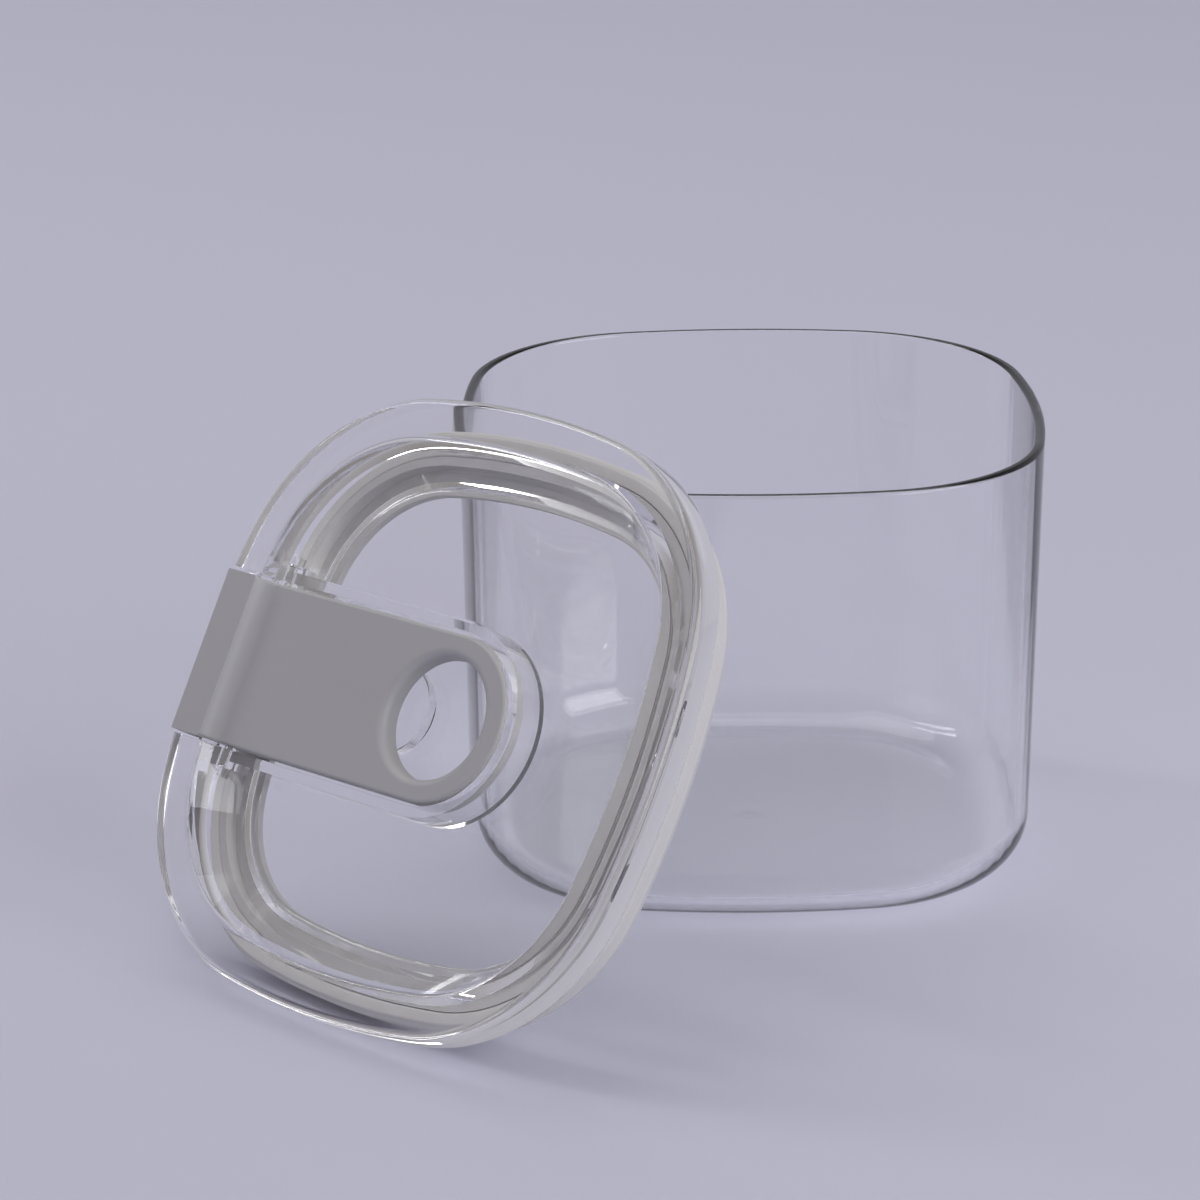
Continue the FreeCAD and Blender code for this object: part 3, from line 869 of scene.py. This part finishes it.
class CANISTER_OT_frame(bpy.types.Operator):
    """Finish the white frame that carries the seal"""

    bl_idname = "canister.frame"
    bl_label = "Seal frame"

    def execute(self, context):
        colour = tuple(context.scene.lever_finish.frame_colour)
        dress("seal_frame", satin_material("frame_plastic", colour, satin=0.55))
        return {"FINISHED"}


class CANISTER_OT_seal(bpy.types.Operator):
    """Sweep the silicone band with its two lips round the lid"""

    bl_idname = "canister.seal"
    bl_label = "Silicone band"

    def execute(self, context):
        seal = context.scene.seal_sizes
        tip = BAND_FACE - LIP_REACH
        corners = [
            (BAND_BACK, BAND_BOTTOM, BAND_BACK_ROUNDING), (BAND_FACE, BAND_BOTTOM, BAND_FACE_ROUNDING),
        ]
        for share in LIP_SHARES:
            middle = BAND_BOTTOM + share * (BAND_TOP - BAND_BOTTOM)
            corners += [
                (BAND_FACE, middle - 2 * LIP_WIDTH), (tip, middle - LIP_WIDTH / 2, LIP_ROUNDING),
                (tip, middle + LIP_WIDTH / 2, LIP_ROUNDING), (BAND_FACE, middle + 2 * LIP_WIDTH),
            ]
        corners += [
            (BAND_FACE, BAND_TOP, BAND_FACE_ROUNDING), (BAND_BACK, BAND_TOP, BAND_BACK_ROUNDING),
        ]
        material = silicone_material(tuple(seal.silicone_colour))
        mesh = swept_mesh("silicone_band", corners, True, material, seal.steps, 7)
        mesh.transform(LID_PLACE)
        band = shown_piece(mesh, BAND_CREASE)
        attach(band, "lid")
        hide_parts("gasket")
        return {"FINISHED"}


class CANISTER_OT_lever(bpy.types.Operator):
    """Finish the finger lever"""

    bl_idname = "canister.lever"
    bl_label = "Finger lever"

    def execute(self, context):
        finish = context.scene.lever_finish
        colour = tuple(finish.lever_colour)
        dress("lever", satin_material("lever_plastic", colour, finish.satin))
        return {"FINISHED"}


def paper_floor(colour):
    """Pale paper under the object."""
    paper, tree, shader, _ = fresh_material("floor_paper", colour)
    shader.inputs["Base Color"].default_value = (*colour, 1.0)
    shader.inputs["Roughness"].default_value = 0.8
    fibre = place_group(
        tree, flow_waves_group(), Wave_height=0.0002, Wave_scale=14.0, Grain_height=0.00001,
        Grain_scale=1500.0,
    )
    bump_from(tree, fibre.outputs["Height"], shader)
    form = bmesh.new()
    under = Matrix.Translation((0.0, 0.0, FLOOR_DROP))
    bmesh.ops.create_grid(form, x_segments=4, y_segments=4, size=FLOOR_HALF, matrix=under)
    sheet = bpy.data.meshes.new("floor")
    form.to_mesh(sheet)
    form.free()
    sheet.materials.append(paper)
    floor = bpy.data.objects.new("floor", sheet)
    bpy.context.scene.collection.objects.link(floor)


def room_light(backdrop, room):
    """World light that fades from the pale backdrop up to the dim room."""
    world = bpy.data.worlds.new("room")
    world.use_nodes = True
    tree = world.node_tree
    split = tree.nodes.new("ShaderNodeSeparateXYZ")
    direction = tree.nodes.new("ShaderNodeTexCoord").outputs["Generated"]
    tree.links.new(direction, split.inputs["Vector"])
    rise = map_range(tree, split.outputs["Z"], FADE_START, FADE_END, smooth=True)
    tree.links.new(blend(tree, rise, backdrop, room), tree.nodes["Background"].inputs["Color"])
    bpy.context.scene.world = world


def soft_light(name, size, power, place, target):
    """Area light facing a point."""
    data = bpy.data.lights.new(name, "AREA")
    data.shape = "RECTANGLE"
    data.size, data.size_y = size
    data.energy = power
    data.color = COOL_WHITE
    lamp = bpy.data.objects.new(name, data)
    lamp.location = place
    lamp.rotation_euler = (Vector(target) - Vector(place)).to_track_quat("-Z", "Y").to_euler()
    bpy.context.scene.collection.objects.link(lamp)


def front_camera(studio):
    """Long-lens camera in front of the object, a little above it."""
    az, el = studio.azimuth, studio.elevation
    back = Vector((math.sin(az) * math.cos(el), -math.cos(az) * math.cos(el), math.sin(el)))
    right = Vector((math.cos(az), math.sin(az), 0.0))
    target = right * -VIEW_LEFT + Vector((0.0, 0.0, VIEW_HEIGHT))
    data = bpy.data.cameras.new("camera")
    data.lens = studio.lens
    data.sensor_width = 36.0
    camera = bpy.data.objects.new("camera", data)
    camera.location = target + back * studio.distance
    facing = back.to_track_quat("Z", "Y").to_matrix()
    camera.rotation_euler = (facing @ Matrix.Rotation(VIEW_ROLL, 3, "Z")).to_euler()
    bpy.context.scene.collection.objects.link(camera)
    bpy.context.scene.camera = camera


class CANISTER_OT_studio(bpy.types.Operator):
    """Lay the pale paper floor and set the soft lights and the camera"""

    bl_idname = "canister.studio"
    bl_label = "Studio"

    def execute(self, context):
        studio = context.scene.studio_settings
        paper_floor(tuple(studio.floor_colour))
        room_light(tuple(studio.sweep_colour), tuple(studio.room_colour))
        for lamp in LAMPS:
            soft_light(*lamp)
        front_camera(studio)
        cycles = context.scene.cycles
        cycles.max_bounces = 28
        cycles.transmission_bounces = 28
        cycles.glossy_bounces = 12
        cycles.transparent_max_bounces = 32
        cycles.caustics_refractive = True
        cycles.caustics_reflective = False
        return {"FINISHED"}


class CANISTER_PT_panel(bpy.types.Panel):
    """Sizes, colours and steps of the canister"""

    bl_label = "Lever lid canister"
    bl_idname = "CANISTER_PT_panel"
    bl_space_type = "VIEW_3D"
    bl_region_type = "UI"
    bl_category = "Canister"

    def draw(self, context):
        for settings, operators in GROUPS:
            box = self.layout.box()
            group = getattr(context.scene, settings)
            for name in group.bl_rna.properties.keys():
                if name not in ("rna_type", "name"):
                    box.prop(group, name)
            for operator in operators:
                box.operator(operator.bl_idname)


GROUPS = (
    ("clear_plastic", (CANISTER_OT_box, CANISTER_OT_cover)),
    ("seal_sizes", (CANISTER_OT_seal,)),
    ("lever_finish", (CANISTER_OT_lever, CANISTER_OT_frame)),
    ("studio_settings", (CANISTER_OT_studio,)),
)
SETTINGS = (
    ("clear_plastic", ClearPlastic),
    ("seal_sizes", SealSizes),
    ("lever_finish", LeverFinish),
    ("studio_settings", StudioSettings),
)
CLASSES = (
    ClearPlastic, SealSizes, LeverFinish, StudioSettings, CANISTER_OT_box, CANISTER_OT_cover,
    CANISTER_OT_frame, CANISTER_OT_seal, CANISTER_OT_lever, CANISTER_OT_studio, CANISTER_PT_panel,
)


def register():
    for cls in CLASSES:
        bpy.utils.register_class(cls)
    for name, cls in SETTINGS:
        setattr(bpy.types.Scene, name, PointerProperty(type=cls))


def unregister():
    for name, _ in SETTINGS:
        delattr(bpy.types.Scene, name)
    for cls in reversed(CLASSES):
        bpy.utils.unregister_class(cls)


def main():
    register()
    context = bpy.context.scene
    context.view_settings.view_transform = "Standard"
    bpy.ops.canister.box()
    bpy.ops.canister.cover()
    bpy.ops.canister.frame()
    bpy.ops.canister.seal()
    bpy.ops.canister.lever()
    bpy.ops.canister.studio()


if __name__ == "__main__":
    main()
